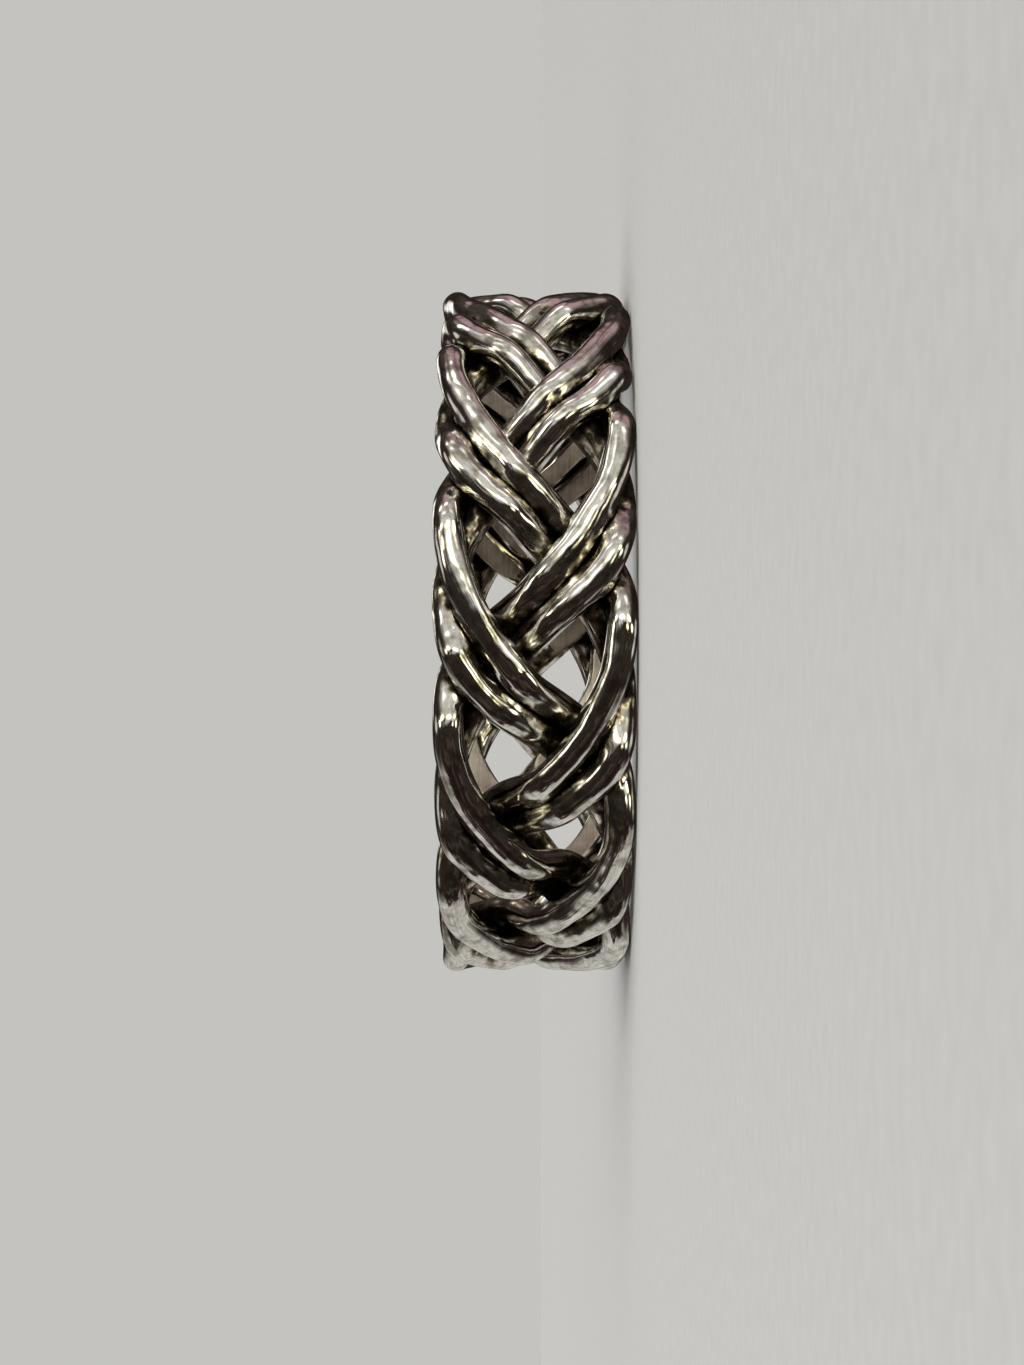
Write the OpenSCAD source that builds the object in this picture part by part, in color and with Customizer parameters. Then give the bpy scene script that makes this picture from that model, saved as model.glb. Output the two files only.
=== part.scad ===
// Braided band ring of silver wire, lying flat on its side.
// Three strands of two wires each are plaited flat and closed into a ring.
// Z is the axis of the finger bore, and the lower edge of the band rests at z = 0.

/* [Ring] */
// Finger bore across, in mm
bore_d = 18.5; // [18.5:0.5:20.5]
// Width of the band along the finger, in mm
band_w = 5.9; // [5.9:0.1:6.3]
// Turns of the braid along each edge of the band
edge_turns = 11; // [10:1:11]
// Depth filed off the wires inside the bore, in mm
filed = 0.14; // [0:0.02:0.2]

/* [Wires] */
// Wire across, in mm
wire_d = 0.91; // [0.8:0.01:0.92]
// Height of a wire on top above the middle of the braid, in mm
lift = 0.48; // [0.48:0.01:0.55]
// Mean distance from a leading wire back to its trailing wire, in mm
lag = 2.06; // [2.04:0.01:2.1]
// Change of that distance between the edges and the middle of the band, in mm
lag_swing = 0.82; // [0.78:0.01:0.86]
// Share of a triple wave that flattens the path along each edge
edge_flat = 0.08; // [0.07:0.005:0.09]

/* [Place] */
// Angle from the joint line to the turn of strand 1 at the front, in degrees
front_turn = 168.8; // [160:0.1:180]
// Gap between the wire ends at the joint line, in mm
joint_gap = 0.05; // [0.03:0.01:0.1]

/* [Detail] */
// Straight lengths along each wire
steps = 130; // [120:2:130]

/* [Hidden] */
strands = 3;
wire_r = wire_d / 2;
bore_r = bore_d / 2;
mid_r = bore_r - filed + wire_r + lift;
mm_per_deg = mid_r * PI / 180;
// Phase of a strand in degrees for each degree round the ring
phase_rate = edge_turns / strands;
wave_h = (band_w / 2 - wire_r) / (1 - edge_flat);

// Level of a leading wire by its phase after a turn at the edge: -1 is under, 1 is on top
PHASE = 0;
LEVEL = 1;
levels = [
    // phase, level
    [-71, -1],
    [-40, -1],
    [9, 1],
    [80, 1],
    [109, -1]
];

// Corners of a wire's section in degrees from its inner side, up to its outer side
section = [0, 45, 80, 113, 146, 180];
corner_deg = concat(section, [for (i = [len(section) - 2:-1:1]) 360 - section[i]]);
corners = len(corner_deg);

silver = [0.78, 0.77, 0.74];

// Phase brought into the half turn that the table covers
function folded(w) = w - 180 * floor((w - levels[0][PHASE]) / 180);

// Soft step from 0 to 1
function eased(x) = 0.5 - 0.5 * cos(180 * min(max(x, 0), 1));

function row_level(w, i) =
    w <= levels[i + 1][PHASE]
        ? levels[i][LEVEL] + (levels[i + 1][LEVEL] - levels[i][LEVEL])
            * eased((w - levels[i][PHASE]) / (levels[i + 1][PHASE] - levels[i][PHASE]))
        : row_level(w, i + 1);

function lead_level(w) = row_level(folded(w), 0);

// A trailing wire runs as a leading wire seen from inside and backwards
function wire_level(w, leads) = leads ? lead_level(w) : -lead_level(-w);

function strand_phase(t, strand) = (t - front_turn) * phase_rate + 360 / strands * (strand - 1);

function half_lag(s) = (lag + lag_swing * cos(2 * s)) / 2 / mm_per_deg * phase_rate;

function wire_phase(t, strand, leads) =
    let (s = strand_phase(t, strand))
    s + (leads ? 1 : -1) * half_lag(s);

// Middle of a wire at the angle t round the ring
function on_path(t, strand, leads) =
    let (
        w = wire_phase(t, strand, leads),
        r = mid_r + lift * wire_level(w, leads),
        z = wave_h * (cos(w) - edge_flat * cos(3 * w))
    )
    [r * sin(t), r * cos(t), band_w / 2 + z];

function unit(v) = v / norm(v);

// A corner inside the bore is filed back to the bore
function outside_bore(p) =
    let (r = norm([p[0], p[1]]), k = max(1, bore_r / r))
    [p[0] * k, p[1] * k, p[2]];

function ring_of_corners(t, strand, leads) =
    let (
        c = on_path(t, strand, leads),
        along = unit(on_path(t + 0.05, strand, leads) - on_path(t - 0.05, strand, leads)),
        outward = [sin(t), cos(t), 0],
        up = unit(outward - along * (along * outward)),
        side = cross(along, up)
    )
    [for (a = corner_deg) outside_bore(c + wire_r * (-cos(a) * up + sin(a) * side))];

module swept(points, rings, n) {
    sides = [
        for (i = [0:rings - 2], j = [0:n - 1])
            let (a = i * n + j, b = i * n + (j + 1) % n)
            each [[a, b, a + n], [b, b + n, a + n]]
    ];
    start_cap = [for (j = [n - 1:-1:0]) j];
    end_cap = [for (j = [0:n - 1]) (rings - 1) * n + j];
    polyhedron(points, concat([start_cap], [end_cap], sides), convexity = 12);
}

module wire(strand, leads) {
    t_gap = joint_gap / mm_per_deg / 2;
    rows = [for (i = [0:steps]) t_gap + (360 - 2 * t_gap) * i / steps];
    points = [for (t = rows) each ring_of_corners(t, strand, leads)];
    color(silver) swept(points, steps + 1, corners);
}

module strand_1_leading_wire() {
    wire(1, true);
}

module strand_1_trailing_wire() {
    wire(1, false);
}

module strand_2_leading_wire() {
    wire(2, true);
}

module strand_2_trailing_wire() {
    wire(2, false);
}

module strand_3_leading_wire() {
    wire(3, true);
}

module strand_3_trailing_wire() {
    wire(3, false);
}

strand_1_leading_wire();
strand_1_trailing_wire();
strand_2_leading_wire();
strand_2_trailing_wire();
strand_3_leading_wire();
strand_3_trailing_wire();
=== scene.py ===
import math

import bpy
import numpy as np
from mathutils import Matrix


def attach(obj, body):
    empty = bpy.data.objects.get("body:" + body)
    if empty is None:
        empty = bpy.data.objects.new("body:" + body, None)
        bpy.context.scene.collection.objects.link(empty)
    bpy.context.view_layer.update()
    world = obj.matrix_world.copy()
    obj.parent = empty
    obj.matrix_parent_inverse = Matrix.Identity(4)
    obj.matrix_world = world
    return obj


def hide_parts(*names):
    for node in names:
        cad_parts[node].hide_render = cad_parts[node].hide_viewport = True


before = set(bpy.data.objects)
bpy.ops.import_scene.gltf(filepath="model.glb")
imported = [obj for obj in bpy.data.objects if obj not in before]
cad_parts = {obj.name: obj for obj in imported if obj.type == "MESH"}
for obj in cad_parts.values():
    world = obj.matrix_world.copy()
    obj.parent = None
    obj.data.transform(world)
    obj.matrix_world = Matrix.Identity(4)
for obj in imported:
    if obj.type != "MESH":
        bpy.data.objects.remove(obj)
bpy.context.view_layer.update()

MM = 0.001
PER_MM = 1000.0  # a noise has its scale in features to the metre

# Sizes of the ring in millimetres, the same as its solids have
BORE_R = 18.5 / 2  # finger bore
BAND_W = 5.9  # width along the finger
WIRE_R = 0.91 / 2
FILED = 0.14  # depth filed off inside the bore
LIFT = 0.48  # a wire on top above the middle of the braid
EDGE_TURNS = 11
STRANDS = 3
LAG = 2.06  # from a leading wire back to its trailing wire
LAG_SWING = 0.82  # change of the lag between the edges and the middle of the band
EDGE_FLAT = 0.08  # share of a triple wave that flattens the path along each edge
FRONT_TURN = 168.8  # degrees from the joint line to the front turn of strand 1
MID_R = BORE_R - FILED + WIRE_R + LIFT  # middle of the braid
MM_PER_DEG = MID_R * math.pi / 180
PHASE_RATE = EDGE_TURNS / STRANDS  # phase of a strand for each degree round the ring
WAVE_H = (BAND_W / 2 - WIRE_R) / (1 - EDGE_FLAT)  # swing of a path from side to side
# Phase of a leading wire after its turn at the edge, and its level from -1 under to 1 on top
LEVELS = [(-71, -1), (-40, -1), (9, 1), (80, 1), (109, -1)]

# Handwork on the wires, in millimetres
DENT_WAVES = 26  # shallow waves that add up to the dents
DENT_DEPTH = 0.004  # height of the strongest wave
DENT_LENGTHS = (1.6, 5.0)
DENT_FREE_END = 1.0  # the dents fade out over this length at the joint
SOLDER_REACH = 0.3  # widest gap that solder runs into
SOLDER_FADE = 0.16  # the solder thins out over the last part of that gap
FILED_EDGE_R = 0.011  # rounding where the filed face meets the round of the wire
SULPHIDE_REACH = 0.24  # from the next wire, where its shelter is down to about a third

# Fineness of each wire's surface
LENGTHS = 735  # from one ring of points to the next along a wire
# Angles in degrees from the joint line to the first rings: they crowd together there, so that the
# two sides of the joint shade as one
FIRST_RING = 0.004
CROWDED_RINGS = 0.5 * 2.0 ** np.arange(-6, 1)
EVEN_RINGS_FROM = 1
# Columns over the filed face as shares of its half-width, and over the rest as shares of its turn.
# They crowd together where the two meet.
FACE_COLUMNS = np.array([-1, -0.94, -0.8, -0.45, 0, 0.45, 0.8, 0.94])
RIM_COLUMNS = np.array([0, 0.006, 0.016, 0.035])
ROUND_COLUMNS = np.concatenate([RIM_COLUMNS, np.linspace(0.06, 0.94, 33), 1 - RIM_COLUMNS[:0:-1]])
LEAST_FACE = math.radians(4)  # half-angle kept for the face's columns where nothing is filed
SATIN_FACE = math.radians(9)  # half-angle from which the face shows as filed


def linear(hex_colour):
    """An sRGB hex colour as the linear values that Blender works with."""
    values = [int(hex_colour[i:i + 2], 16) / 255 for i in (1, 3, 5)]
    return tuple(v / 12.92 if v <= 0.04045 else ((v + 0.055) / 1.055) ** 2.4 for v in values) + (1.0,)


# Places of a Mix node's colours, which share their names with its other sockets
COLOUR_A = 6
COLOUR_B = 7
COLOUR_OUT = 2


def add(tree, kind, inputs=None, stops=None, **settings):
    """Adds one node: its settings, its inputs as values or links, and the stops of a ramp.
    An input goes by its name, or by its place where names repeat."""
    made = tree.nodes.new(kind)
    for name, value in settings.items():
        setattr(made, name, value)
    for name, value in (inputs or {}).items():
        if isinstance(value, bpy.types.NodeSocket):
            tree.links.new(value, made.inputs[name])
        else:
            made.inputs[name].default_value = value
    if stops:
        ramp = made.color_ramp
        while len(ramp.elements) < len(stops):
            ramp.elements.new(1.0)
        for element, (place, colour) in zip(ramp.elements, stops):
            element.position = place
            element.color = linear(colour)
    return made


# The wires

WIRES = [
    ("strand_1_leading_wire", 1, True),
    ("strand_1_trailing_wire", 1, False),
    ("strand_2_leading_wire", 2, True),
    ("strand_2_trailing_wire", 2, False),
    ("strand_3_leading_wire", 3, True),
    ("strand_3_trailing_wire", 3, False),
]
FIRST_SEED = 40  # of the first wire's dents: each next wire takes the next one
PATTERN_STEP = 97  # mm along the patterns from one wire's start to the next one's


def unit(vectors):
    return vectors / np.linalg.norm(vectors, axis=-1, keepdims=True)


def eased(share):
    """Soft step from 0 to 1."""
    share = np.clip(share, 0, 1)
    return share * share * (3 - 2 * share)


def lead_level(phase):
    """Level of a leading wire by its phase, from -1 under to 1 on top."""
    # brought into the half turn that the list of levels covers
    phase = phase - 180 * np.floor((phase - LEVELS[0][0]) / 180)
    level = np.full_like(phase, -1.0)
    for (start, before), (end, after) in zip(LEVELS, LEVELS[1:]):
        here = (phase > start) & (phase <= end)
        change = 0.5 - 0.5 * np.cos(np.pi * (phase[here] - start) / (end - start))
        level[here] = before + (after - before) * change
    return level


def wire_middle(turn, strand, leads):
    """Middle of a wire at angles round the ring, in millimetres."""
    phase = (turn - FRONT_TURN) * PHASE_RATE + 360 / STRANDS * (strand - 1)
    half_lag = (LAG + LAG_SWING * np.cos(np.radians(2 * phase))) / 2 / MM_PER_DEG * PHASE_RATE
    phase = phase + (half_lag if leads else -half_lag)
    # a trailing wire runs as a leading wire seen from inside and backwards
    level = lead_level(phase) if leads else -lead_level(-phase)
    out = MID_R + LIFT * level
    rise = WAVE_H * (np.cos(np.radians(phase)) - EDGE_FLAT * np.cos(np.radians(3 * phase)))
    angle = np.radians(turn)
    return np.stack([out * np.sin(angle), out * np.cos(angle), BAND_W / 2 + rise], -1)


def wire_frame(turn, strand, leads):
    """Middle of a wire at angles round the ring, and its outward and sideways directions."""
    step = 0.05  # degrees to each side, for the direction along the wire
    along = unit(wire_middle(turn + step, strand, leads) - wire_middle(turn - step, strand, leads))
    angle = np.radians(turn)
    outward = np.stack([np.sin(angle), np.cos(angle), np.zeros_like(angle)], -1)
    up = unit(outward - along * (along * outward).sum(-1, keepdims=True))
    return wire_middle(turn, strand, leads), up, np.cross(along, up)


def hand_dents(length, around, seed):
    """Shallow dents that plaiting and hand polishing leave, in millimetres, none at the ends."""
    chance = np.random.default_rng(seed)
    depth = np.zeros(np.broadcast(length, around).shape)
    for _ in range(DENT_WAVES):
        wave = chance.uniform(*DENT_LENGTHS)
        lobes = chance.choice([0, 1, 2, 3], p=[0.2, 0.35, 0.3, 0.15])
        depth += chance.uniform(0.5, 1) * np.cos(
            2 * np.pi * length / wave + lobes * around + chance.uniform(0, 2 * np.pi))
    from_end = np.minimum(length, length.max() - length)
    return DENT_DEPTH * depth * eased(from_end / DENT_FREE_END)


def gap_to_next(points, turn, strand, leads):
    """How far each point is from the surface of the nearest other wire, in millimetres."""
    far = 9.0
    ahead_most = 13  # degrees round the ring within which the nearest wire is looked for
    step = 0.5
    gap = np.full(points.shape[:2], far)
    for _, other, other_leads in WIRES:
        if (other, other_leads) == (strand, leads):
            continue
        for ahead in np.arange(-ahead_most, ahead_most + step / 2, step):
            near = wire_middle(turn + ahead, other, other_leads)
            gap = np.minimum(gap, np.linalg.norm(points - near[:, None], axis=-1) - WIRE_R)
    return np.maximum(gap, 0)


def ring_angles():
    """Angles round the ring, in degrees, at which a wire has a ring of points."""
    even = LENGTHS + 1 - 2 * (1 + len(CROWDED_RINGS))
    return np.concatenate([
        [FIRST_RING], CROWDED_RINGS,
        np.linspace(EVEN_RINGS_FROM, 360 - EVEN_RINGS_FROM, even),
        360 - CROWDED_RINGS[::-1], [360 - FIRST_RING]])


def wire_surface(strand, leads, seed):
    """Points of a wire by ring and column, with its length run, angle round it and flat width."""
    turn = ring_angles()
    middle, up, side = wire_frame(turn, strand, leads)
    run = np.concatenate([[0], np.cumsum(np.linalg.norm(np.diff(middle, axis=0), axis=1))])

    # the filed face spans twice this angle of the section
    tilt = np.clip((np.hypot(middle[:, 0], middle[:, 1]) - BORE_R) / WIRE_R, -1, 1)
    flat = np.maximum(np.arccos(tilt), LEAST_FACE)
    columns = np.concatenate([
        FACE_COLUMNS[None, :] * flat[:, None],
        flat[:, None] + ROUND_COLUMNS[None, :] * (2 * np.pi - 2 * flat[:, None])], 1)

    radius = WIRE_R + hand_dents(run[:, None], columns, seed)
    normal = -np.cos(columns)[..., None] * up[:, None] + np.sin(columns)[..., None] * side[:, None]
    points = middle[:, None] + radius[..., None] * normal
    # solder fills half of a narrow gap from each side
    gap = gap_to_next(points, turn, strand, leads)
    points += (0.5 * gap * eased((SOLDER_REACH - gap) / SOLDER_FADE))[..., None] * normal
    # the file takes the inner side back to the bore and leaves a barely rounded edge
    reach = np.hypot(points[..., 0], points[..., 1])
    kept = BORE_R + FILED_EDGE_R * np.logaddexp(0, (reach - BORE_R) / FILED_EDGE_R)
    points[..., :2] *= (kept / reach)[..., None]
    points[..., 2] = np.maximum(points[..., 2], 0)  # worn level where the ring lies on its side
    return points, run, columns, flat, gap


def wire_faces(i, j, count):
    """The faces of a wire between its rings i and columns j, and a cap at each end."""
    k = (j + 1) % count
    quads = np.stack([i * count + j, (i + 1) * count + j, (i + 1) * count + k, i * count + k], -1)
    start_cap = list(range(count))
    end_cap = [LENGTHS * count + n for n in range(count - 1, -1, -1)]
    return quads.reshape(-1, 4).tolist() + [start_cap, end_cap]


def lay_out_skin(mesh, i, j, count):
    """Lays a wire's long narrow skin out flat in strips, as its UV map."""
    strips = 5
    end_margin = 0.004  # shares of a strip's length and width left free round it
    side_margin = 0.03
    per_strip = LENGTHS // strips
    strip = i // per_strip
    corner_i = np.stack([i, i + 1, i + 1, i], -1) - (strip * per_strip)[..., None]
    corner_j = np.stack([j, j, j + 1, j + 1], -1)
    u = end_margin + (1 - 2 * end_margin) * corner_i / per_strip
    v = (strip[..., None] + side_margin + (1 - 2 * side_margin) * corner_j / count) / strips
    # the caps never show, so a corner of the layout is enough for them
    caps = np.full((2 * count, 2), 0.001)
    layout = np.concatenate([np.stack([u, v], -1).reshape(-1, 2), caps])
    mesh.uv_layers.new(name="OFBake").data.foreach_set("uv", layout.ravel())


def make_wire(row, name, strand, leads, materials):
    """One wire with its two finishes, and what they read from its points."""
    points, run, columns, flat, gap = wire_surface(strand, leads, FIRST_SEED + row)
    count = columns.shape[1]
    i, j = np.meshgrid(np.arange(LENGTHS), np.arange(count), indexing="ij")
    mesh = bpy.data.meshes.new(name + "_silver")
    mesh.from_pydata((points.reshape(-1, 3) * MM).tolist(), [], wire_faces(i, j, count))
    mesh.shade_smooth()
    for cap in mesh.polygons[-2:]:
        cap.use_smooth = False

    for material in materials:
        mesh.materials.append(material)
    on_face = (j < len(FACE_COLUMNS)) & (flat[i] > SATIN_FACE)
    caps = [0, 0]  # the ends of the wire are polished too
    mesh.polygons.foreach_set("material_index", np.append(on_face.ravel(), caps).astype(np.int32))

    # where a point lies on the straightened wire: along it, and on its section, in millimetres
    drawn = np.stack([
        np.broadcast_to(run[:, None] + PATTERN_STEP * row, columns.shape),
        WIRE_R * np.cos(columns), WIRE_R * np.sin(columns)], -1)
    mesh.attributes.new("drawn", "FLOAT_VECTOR", "POINT").data.foreach_set("vector", drawn.ravel())
    near = np.exp(-gap / SULPHIDE_REACH)  # 1 where the next wire touches, 0 far away
    mesh.attributes.new("near", "FLOAT", "POINT").data.foreach_set("value", near.ravel())
    # 0 at the bore, 1 on the outside of a wire on top
    height = (np.hypot(points[..., 0], points[..., 1]) - BORE_R) / (2 * (LIFT + WIRE_R))
    mesh.attributes.new("height", "FLOAT", "POINT").data.foreach_set("value", height.ravel())

    lay_out_skin(mesh, i, j, count)
    mesh.validate()

    wire = bpy.data.objects.new(name + "_silver", mesh)
    bpy.context.scene.collection.objects.link(wire)
    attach(wire, "root")
    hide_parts(name)


# Materials

def new_material(name):
    """A material with its node tree, still empty."""
    material = bpy.data.materials.new(name)
    material.use_nodes = True
    material.node_tree.nodes.clear()
    return material, material.node_tree


def polished_silver():
    """Sterling silver wire, drawn, plaited, dipped in liver of sulphur and polished by hand.
    The tops are bright and almost white with fine wiping marks that run along the wire. The
    brown-black sulphide stays in the grooves and at the crossings, where no cloth reaches."""
    material, tree = new_material("Hand-polished sterling silver wire")
    drawn = add(tree, "ShaderNodeAttribute", attribute_name="drawn").outputs["Vector"]
    near = add(tree, "ShaderNodeAttribute", attribute_name="near").outputs["Fac"]
    height = add(tree, "ShaderNodeAttribute", attribute_name="height").outputs["Fac"]
    place = add(tree, "ShaderNodeTexCoord").outputs["Object"]

    # sulphide that the cloth left, in patches about 0.4 mm across, more of it low in the braid
    patches = add(tree, "ShaderNodeTexNoise", {
        "Vector": place, "Scale": 2.4 * PER_MM, "Detail": 2.0, "Roughness": 0.5}).outputs["Fac"]
    uneven = add(tree, "ShaderNodeMapRange", {
        "Value": patches, "From Min": 0.3, "From Max": 0.7, "To Min": -0.2, "To Max": 0.2}).outputs[0]
    low = add(tree, "ShaderNodeMapRange", {
        "Value": height, "From Min": 0.2, "From Max": 0.68, "To Min": 0.36, "To Max": 0.0}).outputs[0]
    kept = add(tree, "ShaderNodeMath", {0: near, 1: uneven}, operation="ADD").outputs[0]
    kept = add(tree, "ShaderNodeMath", {0: kept, 1: low}, operation="ADD").outputs[0]
    sulphide = add(tree, "ShaderNodeMapRange", {
        "Value": kept, "From Min": 0.26, "From Max": 0.72}, interpolation_type="SMOOTHSTEP").outputs[0]
    # the sanding drum burnishes the rim beside the filed face, about 0.1 mm wide
    rim = add(tree, "ShaderNodeMapRange", {
        "Value": height, "From Min": 0.02, "From Max": 0.09, "To Min": 0.12, "To Max": 1.0}).outputs[0]
    sulphide = add(tree, "ShaderNodeMath", {0: sulphide, 1: rim}, operation="MULTIPLY").outputs[0]

    # wiping marks, 0.03 to 0.06 mm across and a few millimetres long
    mark_place = add(tree, "ShaderNodeVectorMath", {
        0: drawn, 1: (0.5, 22.0, 22.0)}, operation="MULTIPLY").outputs[0]
    marks = add(tree, "ShaderNodeTexNoise", {
        "Vector": mark_place, "Scale": 1.0, "Detail": 3.0, "Roughness": 0.65}).outputs["Fac"]
    # long dents of the pliers, about 1.1 mm, and small ones of the hammer, about 0.4 mm
    long_dents = add(tree, "ShaderNodeTexNoise", {
        "Vector": place, "Scale": 0.9 * PER_MM, "Detail": 0.5, "Roughness": 0.4}).outputs["Fac"]
    small_dents = add(tree, "ShaderNodeTexNoise", {
        "Vector": place, "Scale": 2.3 * PER_MM, "Detail": 0.0}).outputs["Fac"]

    # breath of tarnish in clouds of 0.3 to 0.6 mm, which dulls and warms the white of the silver
    clouds = add(tree, "ShaderNodeTexNoise", {
        "Vector": place, "Scale": 1.9 * PER_MM, "Detail": 2.5, "Roughness": 0.55}).outputs["Fac"]
    streaked = add(tree, "ShaderNodeMapRange", {
        "Value": marks, "From Min": 0.0, "From Max": 1.0, "To Min": -0.11, "To Max": 0.11}).outputs[0]
    mixed = add(tree, "ShaderNodeMath", {0: streaked, 1: clouds}, operation="ADD").outputs[0]
    tone = add(tree, "ShaderNodeValToRGB", {"Fac": mixed},
               stops=[(0.36, "#A19D93"), (0.46, "#CFCCC4"), (0.56, "#EAE8E2")]).outputs[0]
    # a thin film of sulphide is straw-coloured, a thicker one brown, and a full one nearly black
    film = add(tree, "ShaderNodeValToRGB", {"Fac": sulphide},
               stops=[(0.0, "#FFFFFF"), (0.14, "#EDE4D3"), (0.35, "#A2998C"), (0.65, "#504A42"),
                      (1.0, "#2B2622")]).outputs[0]
    colour = add(tree, "ShaderNodeMix", {"Factor": 1.0, COLOUR_A: tone, COLOUR_B: film},
                 data_type="RGBA", blend_type="MULTIPLY").outputs[COLOUR_OUT]
    gloss = add(tree, "ShaderNodeMapRange", {
        "Value": mixed, "From Min": 0.36, "From Max": 0.6, "To Min": 0.19, "To Max": 0.08}).outputs[0]
    rough = add(tree, "ShaderNodeMapRange", {
        "Value": sulphide, "To Min": gloss, "To Max": 0.6}).outputs[0]

    pliers = add(tree, "ShaderNodeBump", {
        "Height": long_dents, "Strength": 1.0, "Distance": 0.09 * MM}).outputs[0]
    hammer = add(tree, "ShaderNodeBump", {
        "Height": small_dents, "Strength": 1.0, "Distance": 0.022 * MM, "Normal": pliers}).outputs[0]
    relief = add(tree, "ShaderNodeBump", {
        "Height": marks, "Strength": 1.0, "Distance": 0.0001 * MM, "Normal": hammer}).outputs[0]
    silver = add(tree, "ShaderNodeBsdfPrincipled", {
        "Base Color": colour, "Metallic": 1.0, "Roughness": rough, "Normal": relief}).outputs[0]
    add(tree, "ShaderNodeOutputMaterial", {"Surface": silver})
    return material


def filed_silver():
    """The same silver where a file and a sanding drum took the inner side back to the bore.
    It is satin, with fine lines round the finger, and keeps a thin beige-brown film."""
    material, tree = new_material("Filed sterling silver")
    place = add(tree, "ShaderNodeTexCoord").outputs["Object"]
    near = add(tree, "ShaderNodeAttribute", attribute_name="near").outputs["Fac"]

    # sanding lines, which run round the bore: 0.03 mm apart in truth, and 0.08 mm here, to show
    line_place = add(tree, "ShaderNodeVectorMath", {
        0: place, 1: (0.3 * PER_MM, 0.3 * PER_MM, 12 * PER_MM)}, operation="MULTIPLY").outputs[0]
    lines = add(tree, "ShaderNodeTexNoise", {
        "Vector": line_place, "Scale": 1.0, "Detail": 4.0, "Roughness": 0.7}).outputs["Fac"]
    # film in soft patches of 1 mm
    film = add(tree, "ShaderNodeTexNoise", {
        "Vector": place, "Scale": 1.0 * PER_MM, "Detail": 5.0, "Roughness": 0.6}).outputs["Fac"]
    worn = add(tree, "ShaderNodeMapRange", {
        "Value": lines, "From Min": 0.3, "From Max": 0.7, "To Min": -0.12, "To Max": 0.12}).outputs[0]
    dull = add(tree, "ShaderNodeMath", {0: film, 1: near}, operation="ADD").outputs[0]
    dull = add(tree, "ShaderNodeMath", {0: dull, 1: worn}, operation="ADD").outputs[0]
    colour = add(tree, "ShaderNodeValToRGB", {"Fac": dull},
                 stops=[(0.35, "#F0E6DC"), (0.55, "#D3C6B9"), (0.8, "#A39487"),
                        (1.0, "#40372F")]).outputs[0]
    rough = add(tree, "ShaderNodeMapRange", {
        "Value": lines, "From Min": 0.3, "From Max": 0.7, "To Min": 0.24, "To Max": 0.42}).outputs[0]
    relief = add(tree, "ShaderNodeBump", {
        "Height": lines, "Strength": 1.0, "Distance": 0.009 * MM}).outputs[0]
    silver = add(tree, "ShaderNodeBsdfPrincipled", {
        "Base Color": colour, "Metallic": 0.8, "Roughness": rough, "Normal": relief}).outputs[0]
    add(tree, "ShaderNodeOutputMaterial", {"Surface": silver})
    return material


def table_paper():
    """Matt white-grey paper, lightly calendered: it shows as a plain pale ground."""
    material, tree = new_material("Matt pale grey paper")
    place = add(tree, "ShaderNodeTexCoord").outputs["Object"]
    # grain of the fibres, about 0.4 mm
    grain = add(tree, "ShaderNodeTexNoise", {
        "Vector": place, "Scale": 2.5 * PER_MM, "Detail": 2.0, "Roughness": 0.5}).outputs["Fac"]
    tone = add(tree, "ShaderNodeValToRGB", {"Fac": grain},
               stops=[(0.3, "#E2E3E4"), (0.7, "#E7E8E8")]).outputs[0]
    paper = add(tree, "ShaderNodeBsdfDiffuse", {"Color": tone, "Roughness": 0.6}).outputs[0]
    add(tree, "ShaderNodeOutputMaterial", {"Surface": paper})
    return material


# The table

def make_table():
    """A round sheet of paper so wide that its far edge lies at the horizon."""
    radius = 1.2
    sides = 96
    angles = [2 * math.pi * n / sides for n in range(sides)]
    rim = [(radius * math.cos(angle), radius * math.sin(angle), 0) for angle in angles]
    mesh = bpy.data.meshes.new("table_paper")
    mesh.from_pydata(rim, [], [list(range(sides))])
    mesh.materials.append(table_paper())
    table = bpy.data.objects.new("table_paper", mesh)
    bpy.context.scene.collection.objects.link(table)
    # the silver mirrors the room alone, which has its own pale table
    table.visible_glossy = False


# The room, as the silver mirrors it

# Round the finger's axis, in degrees from the camera and up the picture: dark in front, a pale
# ceiling above, dark again behind, and the pale table below.
ROUND_THE_ROOM = [
    (-180, "#312A26"), (-160, "#312A26"), (-152, "#C6C4BE"), (-82, "#D2D0CA"), (-73, "#362A25"),
    (-60, "#241B18"), (-50, "#2C2420"), (-43, "#4C4339"), (-37, "#463E35"), (-30, "#26201C"),
    (-6, "#3B352F"), (8, "#29241F"), (16, "#3A352F"), (27, "#E4E3DC"), (36, "#E4E2DB"),
    (47, "#DEDCD5"), (56, "#CAC8C1"), (64, "#E0DED7"), (80, "#CEC9C3"), (92, "#9C928D"),
    (106, "#7A6E6A"), (114, "#453C38"), (128, "#4B423D"), (140, "#302925"), (180, "#312A26"),
]
PAST_THE_ENDS = "#312A26"  # towards the two ends of the finger's axis, beyond the table and ceiling
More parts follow.
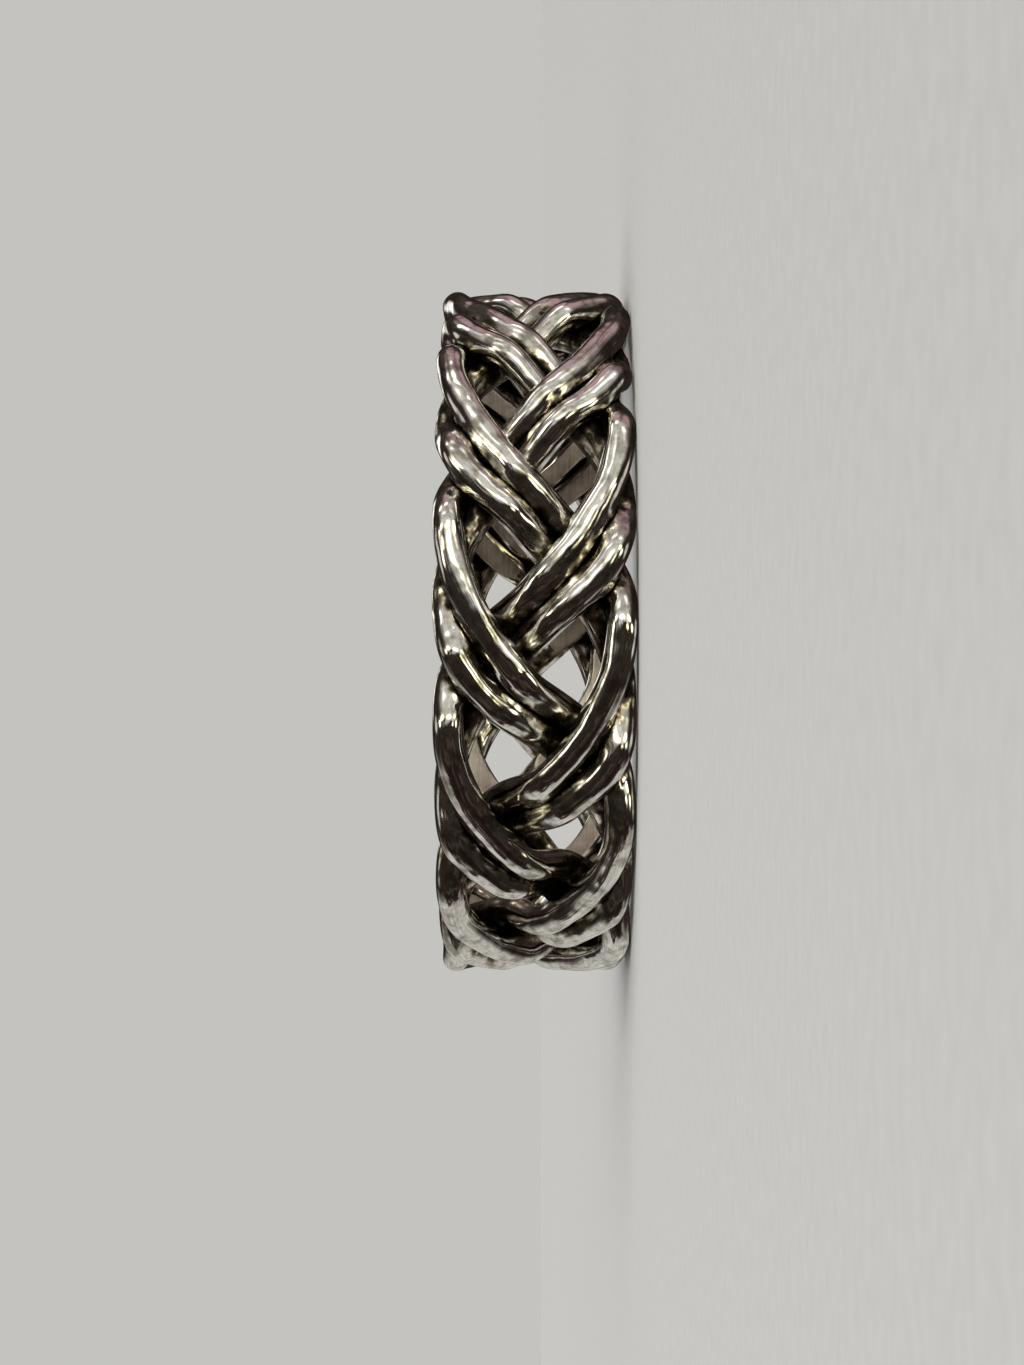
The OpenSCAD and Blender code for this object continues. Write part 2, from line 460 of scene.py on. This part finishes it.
# Panels and strip lights: where each is, in degrees up the picture and along the axis from the
# camera, its half-angles up and along, colour, strength. The outer half of each fades out.
PANELS = [
    (180, 78, 15, 15, "#DAD7D0", 0.95),
    (180, -78, 15, 15, "#DAD7D0", 0.95),
    (110, 8, 22, 22, "#D0AFB4", 0.72),
    (106, -26, 18, 18, "#D0AFB4", 0.68),
    (30, 0, 8, 24, "#FFF9DA", 3.4),
    (34, 46, 8, 15, "#FFFAE2", 3.1),
    (36, -46, 8, 15, "#FFF8D2", 3.1),
    (10, -34, 6, 9, "#FFF6C8", 3.4),
    (19, 66, 9, 10, "#FFFAEA", 3.0),
    (14, -66, 9, 10, "#FFF8DE", 3.0),
    (64, 24, 6, 17, "#FFFDF6", 1.9),
    (75, -24, 7, 15, "#FFFDF6", 1.7),
    (90, 10, 7, 14, "#FFFDF6", 2.1),
    (98, 40, 7, 11, "#FFFDF6", 2.1),
    (170, 30, 13, 13, "#FFFBF2", 1.5),
]
PAPER_LOOK = "#C4C3BF"  # what the camera sees beyond the table


def panel_share(tree, look, up, along, reach_up, reach_along):
    """How much of a panel the look meets: 1 in its inner half, fading to 0 at its edge."""
    toward = (math.cos(along) * math.sin(up), -math.cos(along) * math.cos(up), math.sin(along))
    upward = (math.cos(up) / reach_up, math.sin(up) / reach_up, 0)
    sideways = (-math.sin(along) * math.sin(up) / reach_along,
                math.sin(along) * math.cos(up) / reach_along, math.cos(along) / reach_along)
    ahead, high, wide = (
        add(tree, "ShaderNodeVectorMath", {0: look, 1: way}, operation="DOT_PRODUCT").outputs["Value"]
        for way in (toward, upward, sideways))
    off = add(tree, "ShaderNodeCombineXYZ", {0: high, 1: wide}).outputs[0]
    off = add(tree, "ShaderNodeVectorMath", {0: off}, operation="LENGTH").outputs["Value"]
    share = add(tree, "ShaderNodeMapRange", {
        "Value": off, "From Min": 0.5, "From Max": 1.0, "To Min": 1.0, "To Max": 0.0},
        interpolation_type="SMOOTHSTEP").outputs[0]
    before = add(tree, "ShaderNodeMath", {0: ahead, 1: 0.0}, operation="GREATER_THAN").outputs[0]
    return add(tree, "ShaderNodeMath", {0: share, 1: before}, operation="MULTIPLY").outputs[0]


def turn_of_look(tree, look):
    """Angle of the look round the finger's axis: 0 and 1 behind the ring, 0.5 at the camera."""
    # nothing has a straight edge when a wire mirrors it: the noise bends them by up to 16 degrees
    clutter = add(tree, "ShaderNodeTexNoise", {
        "Vector": look, "Scale": 2.6, "Detail": 2.0, "Roughness": 0.5}).outputs["Fac"]
    bent = add(tree, "ShaderNodeMapRange", {
        "Value": clutter, "From Min": 0.3, "From Max": 0.7, "To Min": -0.045, "To Max": 0.045}).outputs[0]
    parts = add(tree, "ShaderNodeSeparateXYZ", {0: look}).outputs
    front = add(tree, "ShaderNodeMath", {0: parts[1], 1: -1.0}, operation="MULTIPLY").outputs[0]
    turn = add(tree, "ShaderNodeMath", {0: parts[0], 1: front}, operation="ARCTAN2").outputs[0]
    turn = add(tree, "ShaderNodeMapRange", {
        "Value": turn, "From Min": -math.pi, "From Max": math.pi}).outputs[0]
    turn = add(tree, "ShaderNodeMath", {0: turn, 1: bent}, operation="ADD").outputs[0]
    return add(tree, "ShaderNodeMath", {0: turn, 1: 1.0}, operation="FLOORED_MODULO").outputs[0]


def share_past_the_ends(tree, look):
    """How much the look goes along the finger's axis: 0 across it, 1 near its two ends."""
    parts = add(tree, "ShaderNodeSeparateXYZ", {0: look}).outputs
    out = add(tree, "ShaderNodeMath", {0: parts[2]}, operation="ABSOLUTE").outputs[0]
    # the sines of 37 and 64 degrees along the axis
    return add(tree, "ShaderNodeMapRange", {
        "Value": out, "From Min": 0.6, "From Max": 0.9}, interpolation_type="SMOOTHSTEP").outputs[0]


def make_room():
    """The world: the room for the silver, and a plain pale ground for the camera."""
    world = bpy.data.worlds.new("room")
    bpy.context.scene.world = world
    world.use_nodes = True
    tree = world.node_tree
    tree.nodes.clear()
    look = add(tree, "ShaderNodeTexCoord").outputs["Generated"]
    look = add(tree, "ShaderNodeVectorMath", {0: look}, operation="NORMALIZE").outputs[0]
    stops = [((degrees + 180) / 360, colour) for degrees, colour in ROUND_THE_ROOM]
    light = add(tree, "ShaderNodeValToRGB", {"Fac": turn_of_look(tree, look)}, stops=stops).outputs[0]
    light = add(tree, "ShaderNodeMix", {
        "Factor": share_past_the_ends(tree, look), COLOUR_A: light, COLOUR_B: linear(PAST_THE_ENDS)},
        data_type="RGBA", clamp_factor=True).outputs[COLOUR_OUT]
    # a finer noise makes each part of the room uneven in tone
    uneven = add(tree, "ShaderNodeTexNoise", {
        "Vector": look, "Scale": 7.0, "Detail": 3.0, "Roughness": 0.6}).outputs["Fac"]
    shade = add(tree, "ShaderNodeMapRange", {
        "Value": uneven, "From Min": 0.32, "From Max": 0.62, "To Min": 0.55, "To Max": 1.15}).outputs[0]
    light = add(tree, "ShaderNodeVectorMath", {0: light, "Scale": shade}, operation="SCALE").outputs[0]
    for up, along, half_up, half_along, colour, strength in PANELS:
        share = panel_share(tree, look, math.radians(up), math.radians(along),
                            math.sin(math.radians(half_up)), math.sin(math.radians(half_along)))
        bright = tuple(strength * v for v in linear(colour)[:3]) + (1.0,)
        light = add(tree, "ShaderNodeMix", {"Factor": share, COLOUR_A: light, COLOUR_B: bright},
                    data_type="RGBA", clamp_factor=True).outputs[COLOUR_OUT]
    lit = add(tree, "ShaderNodeBackground", {"Color": light, "Strength": 1.0}).outputs[0]
    plain = add(tree, "ShaderNodeBackground", {"Color": linear(PAPER_LOOK), "Strength": 1.0}).outputs[0]
    seen = add(tree, "ShaderNodeLightPath").outputs["Is Camera Ray"]
    both = add(tree, "ShaderNodeMixShader", {0: seen, 1: lit, 2: plain}).outputs[0]
    add(tree, "ShaderNodeOutputWorld", {"Surface": both})


def make_table_lamp():
    """A wide soft lamp over the table, which the silver doesn't mirror: it evens the pale ground."""
    sun = bpy.data.lights.new("table_lamp", "SUN")
    sun.color = linear("#FAFAFB")[:3]
    sun.energy = 1.37
    sun.angle = math.radians(70)
    lamp = bpy.data.objects.new("table_lamp", sun)
    lamp.visible_glossy = False
    bpy.context.scene.collection.objects.link(lamp)


# The camera

# Height of the photograph, the focal length and the shift of the view, all in its pixels
PICTURE_H = 1365
FOCAL = 2480
SHIFT_ACROSS = -23
SHIFT_UP = -51
SENSOR = 36  # mm
CAMERA_Y = -0.081  # metres from the ring's axis
CAMERA_Z = BAND_W / 2 * MM  # level with the middle of the band


def make_camera():
    """The camera looks at the band's front, with the finger's axis across the picture."""
    camera = bpy.data.objects.new("camera", bpy.data.cameras.new("camera"))
    camera.data.sensor_width = SENSOR
    camera.data.lens = SENSOR * FOCAL / PICTURE_H
    camera.data.shift_x = SHIFT_ACROSS / PICTURE_H
    camera.data.shift_y = SHIFT_UP / PICTURE_H
    camera.data.clip_start = 0.005
    camera.data.clip_end = 3.0
    # the picture's right is down to the table, its top is +X, and the lens looks along +Y
    camera.matrix_world = Matrix((
        (0, 1, 0, 0),
        (0, 0, -1, CAMERA_Y),
        (-1, 0, 0, CAMERA_Z),
        (0, 0, 0, 1)))
    bpy.context.scene.collection.objects.link(camera)
    bpy.context.scene.camera = camera


silver = [polished_silver(), filed_silver()]
for row, (name, strand, leads) in enumerate(WIRES):
    make_wire(row, name, strand, leads, silver)
make_table()
make_room()
make_table_lamp()
make_camera()
bpy.context.scene.view_settings.view_transform = "Standard"
